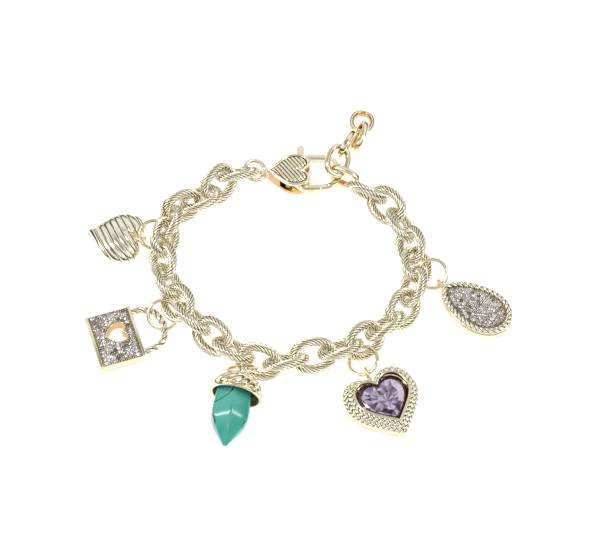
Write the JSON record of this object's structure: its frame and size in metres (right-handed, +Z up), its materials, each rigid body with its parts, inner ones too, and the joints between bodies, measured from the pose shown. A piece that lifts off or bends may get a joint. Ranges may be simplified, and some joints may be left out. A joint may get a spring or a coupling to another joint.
{
  "type": "charm bracelet",
  "caption": "Charm bracelet: rope-textured oval link chain closed by a heart lobster clasp with a short extender, hung with heart, padlock, acorn and teardrop charms on jump rings.",
  "frame": {"origin": "on the ground under the middle of the bracelet's box, bracelet lying flat", "axes": "+X along the longest side of the lying bracelet, from the padlock charm to the teardrop charm; +Y from the purple heart charm towards the clasp; +Z up, out of the surface it lies on"},
  "size_m": [0.11, 0.1078, 0.0134],
  "materials": {
    "rope_chain": "polished pale gold, twisted rope texture",
    "plain_wire": "polished pale gold",
    "clasp": "polished pale gold with a ridged field",
    "charm_metal": "polished pale gold with cast relief",
    "turquoise": "polished opaque turquoise with dark veins",
    "amethyst": "faceted pale purple stone",
    "pave_crystal": "small round faceted clear stones"
  },
  "bodies": {
    "bracelet": {"link_01": "rope_chain", "link_02": "rope_chain", "link_03": "rope_chain", "link_04": "rope_chain", "link_05": "rope_chain", "link_06": "rope_chain", "link_07": "rope_chain", "link_08": "rope_chain", "link_09": "rope_chain", "link_10": "rope_chain", "link_11": "rope_chain", "link_12": "rope_chain", "link_13": "rope_chain", "link_14": "rope_chain", "link_15": "rope_chain", "link_16": "rope_chain", "link_17": "rope_chain", "link_18": "rope_chain", "link_19": "rope_chain", "link_20": "rope_chain", "link_21": "rope_chain", "link_22": "rope_chain", "link_23": "rope_chain", "link_24": "rope_chain", "link_25": "rope_chain", "extender_link_1": "plain_wire", "extender_link_2": "plain_wire", "extender_link_3": "plain_wire", "extender_link_4": "plain_wire", "extender_link_5": "plain_wire", "striped_heart_ring": "plain_wire", "padlock_ring": "plain_wire", "acorn_ring": "plain_wire", "purple_heart_ring": "plain_wire", "teardrop_ring": "plain_wire", "clasp_ring": "plain_wire", "clasp_body": "clasp", "clasp_rivet": "clasp", "striped_heart": "charm_metal", "padlock": "charm_metal", "acorn_cap": "charm_metal", "purple_heart_setting": "charm_metal", "teardrop": "charm_metal", "acorn_stone": "turquoise", "heart_stone": "amethyst"},
    "clasp_lever": {"clasp_lever": "clasp"}
  },
  "joints": [
    {"name": "clasp_lever_hinge", "type": "hinge", "parent": "bracelet", "child": "clasp_lever", "pos_m": [-0.00185, 0.03085, 0.0024], "axis": [0, 0, 1], "range_deg": [0, 25], "stiffness_Nm_per_rad": 0.004, "springref_deg": -11.46}
  ]
}
